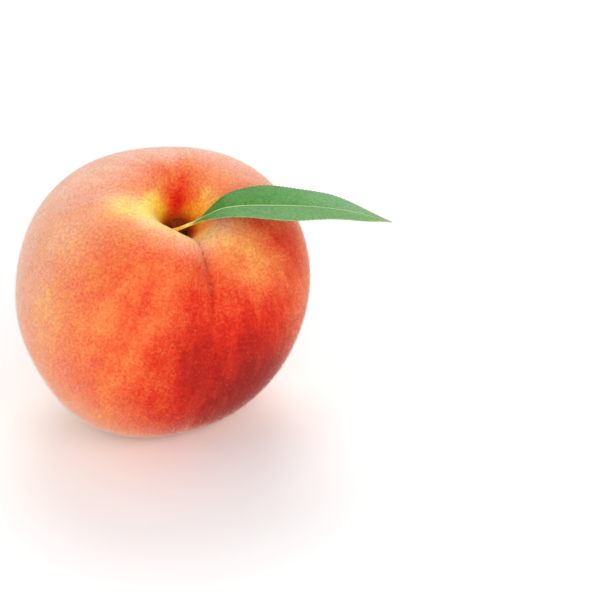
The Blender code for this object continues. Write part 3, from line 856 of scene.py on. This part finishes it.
def leaf_grid():
    """Shares along the midrib by shares across the blade, with both faces' heights."""
    stalk = np.linspace(0, BLADE_START, STALK_STATIONS, endpoint=False)
    blade = np.linspace(BLADE_START, LEAF_TIP, LEAF_TEETH * STATIONS_PER_TOOTH)
    share = np.concatenate((stalk, blade))[:, None]
    even = np.linspace(-1, 1, BLADE_COLUMNS)
    across = (np.sign(even) * np.abs(even) ** 1.25)[None, :]
    along = np.clip((share - BLADE_START) / (1 - BLADE_START), 0, 1)
    flat = np.clip(along / BLADE_OPENS, 0, 1) ** 0.8
    half_width = blade_half_width(along)
    opened = np.clip(half_width / BLADE_OPEN_FROM, 0, 1)
    phase = (along * LEAF_TEETH) % 1
    tooth = np.minimum(phase / TOOTH_PEAK, (1 - phase) / (1 - TOOTH_PEAK)) * TOOTH_DEPTH * opened
    outer = np.clip((np.abs(across) - MARGIN_FROM) / (1 - MARGIN_FROM), 0, 1)
    reach = np.abs(across) * (half_width + tooth * outer)
    fold = np.where(across < 0, *LEAF_FOLDS)
    bulge = BLADE_BULGE * half_width * np.abs(across) * (1 - np.abs(across))
    wave = WAVE * across ** 2 * np.sin(5 * pi * along + 2 * across) * 4 * along * (1 - along)
    side = reach * np.cos(fold) * np.sign(across)
    height = reach * np.sin(fold) + bulge + wave
    rib = bell(reach, MIDRIB_HALF_WIDTH) * (1 - 0.75 * along)
    vein = vein_closeness(along, across) * opened
    pillow = PILLOW * np.sin(pi * np.abs(across)) * (1 - vein)
    thin = LEAF_THICKNESS / 2 * (1 - MARGIN_THINNER * outer)
    top = height + thin + pillow - MIDRIB_GROOVE * rib - VEIN_GROOVE * vein
    under = height - thin + pillow - MIDRIB_BELOW * rib - VEIN_BELOW * vein

    # The bare stalk is round, and flattens where the blade opens
    stalk_radius = STALK_RADIUS * (1 + STALK_SWELL * bell(share, SWELL_REACH))
    stalk_side = stalk_radius * np.sin(pi / 2 * across)
    stalk_height = stalk_radius * np.cos(pi / 2 * across)
    top = stalk_height + (top - stalk_height) * flat
    under = -stalk_height + (under + stalk_height) * flat
    side = stalk_side + (side - stalk_side) * flat
    return share, across, side, top, under


def both_faces(values, shape):
    """Values over the top face, back to front, and then over the underside."""
    whole = np.broadcast_to(values, shape)
    return np.concatenate((whole[:, ::-1], whole), axis=1).ravel()


def add_leaf():
    share, across, side, top, under = leaf_grid()
    place, way = along_route(smooth_route(MIDRIB_ROUTE, ROUTE_STEPS), share[:, 0])
    far_side = np.cross((0.0, 0.0, 1.0), way)
    far_side = far_side / np.linalg.norm(far_side, axis=1, keepdims=True)
    up = np.cross(way, far_side)
    base = place[:, None, :] + far_side[:, None, :] * side[..., None]
    top_points = base + up[:, None, :] * top[..., None]
    under_points = base + up[:, None, :] * under[..., None]
    points = np.concatenate((top_points[:, ::-1], under_points), axis=1).reshape(-1, 3)
    rows, columns = side.shape
    round_once = 2 * columns
    faces = grid_faces(rows, round_once)[:, ::-1].tolist()
    faces.append(list(range(round_once)))
    faces.append([(rows - 1) * round_once + index for index in reversed(range(round_once))])
    piece = add_piece("peach_leaf", points + np.array(fruit_centre), faces, leaf_finish())
    along = (share - BLADE_START) / (1 - BLADE_START)
    is_upper = np.repeat(((1.0, 0.0),), rows, axis=0)
    add_values(piece, "along", both_faces(along, side.shape))
    add_values(piece, "across", both_faces(across, side.shape))
    add_values(piece, "upper", np.repeat(is_upper, columns, axis=1).ravel())
    add_values(piece, "from_rib", both_faces(np.abs(side), side.shape) / MM)
    add_values(piece, "leaf_place", points)
    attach(piece, "root")
    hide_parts("leaf")


add_leaf()

# ---- Camera, ground and light ---------------------------------------------------------
# The fruit stands on a plain pale floor in a white room, seen from a little above, under
# four soft round lights.
CAMERA_ELEVATION = radians(28)
CAMERA_DISTANCE = 580 * MM
VIEW_WIDTH = 153.1 * MM         # how wide the view is at the fruit's distance
TO_RIGHT = 35.2 * MM            # the view's middle is this far right of the fruit's centre
TO_ABOVE = -2.55 * MM
GROUND_SIZE = 6.0
GROUND_TONE = (0.96, 0.96, 0.96)
ROOM_LIGHT = 0.65
SOFT_LIGHTS = [                 # name, place, size, power
    ("front_light", (0.0, -0.83, 0.38), 0.5, 2.5),
    ("right_light", (0.62, -0.52, 0.42), 0.5, 2.15),
    ("left_light", (-0.62, -0.52, 0.42), 0.5, 0.9),
    ("back_light", (0.0, 0.62, 0.66), 0.6, 3.0),
]


def add_aimed(name, data, place, way):
    """A camera or lamp at a place, which looks along way."""
    holder = bpy.data.objects.new(name, data)
    holder.location = place
    holder.rotation_mode = "QUATERNION"
    holder.rotation_quaternion = way.to_track_quat("-Z", "Y")
    bpy.context.scene.collection.objects.link(holder)
    return holder


def add_camera():
    back = Vector((0, -cos(CAMERA_ELEVATION), sin(CAMERA_ELEVATION)))
    above = Vector((0, sin(CAMERA_ELEVATION), cos(CAMERA_ELEVATION)))
    aim = fruit_centre + Vector((1, 0, 0)) * TO_RIGHT + above * TO_ABOVE
    lens = bpy.data.cameras.new("camera")
    lens.lens = lens.sensor_width * CAMERA_DISTANCE / VIEW_WIDTH
    lens.clip_start = 10 * MM
    bpy.context.scene.camera = add_aimed("camera", lens, aim + back * CAMERA_DISTANCE, -back)


def add_ground():
    pale = Finish("pale_ground", Base_Color=GROUND_TONE, Roughness=0.6, Specular_IOR_Level=0.2)
    corners = np.array(((-1, -1, 0), (1, -1, 0), (1, 1, 0), (-1, 1, 0))) * GROUND_SIZE / 2
    ground = add_piece("ground", corners, [(0, 1, 2, 3)], pale.material)
    ground.location.z = cad_box[0].z


def add_room():
    room = bpy.data.worlds.new("white_room")
    room.use_nodes = True
    glow = room.node_tree.nodes["Background"]
    glow.inputs["Color"].default_value = (1.0, 1.0, 1.0, 1.0)
    glow.inputs["Strength"].default_value = ROOM_LIGHT
    bpy.context.scene.world = room


def add_soft_light(name, place, size, power):
    lamp = bpy.data.lights.new(name, "AREA")
    lamp.shape = "DISK"
    lamp.size = size
    lamp.energy = power
    add_aimed(name, lamp, Vector(place), fruit_centre - Vector(place))


add_camera()
add_ground()
add_room()
for light in SOFT_LIGHTS:
    add_soft_light(*light)
bpy.context.scene.view_settings.view_transform = "Standard"
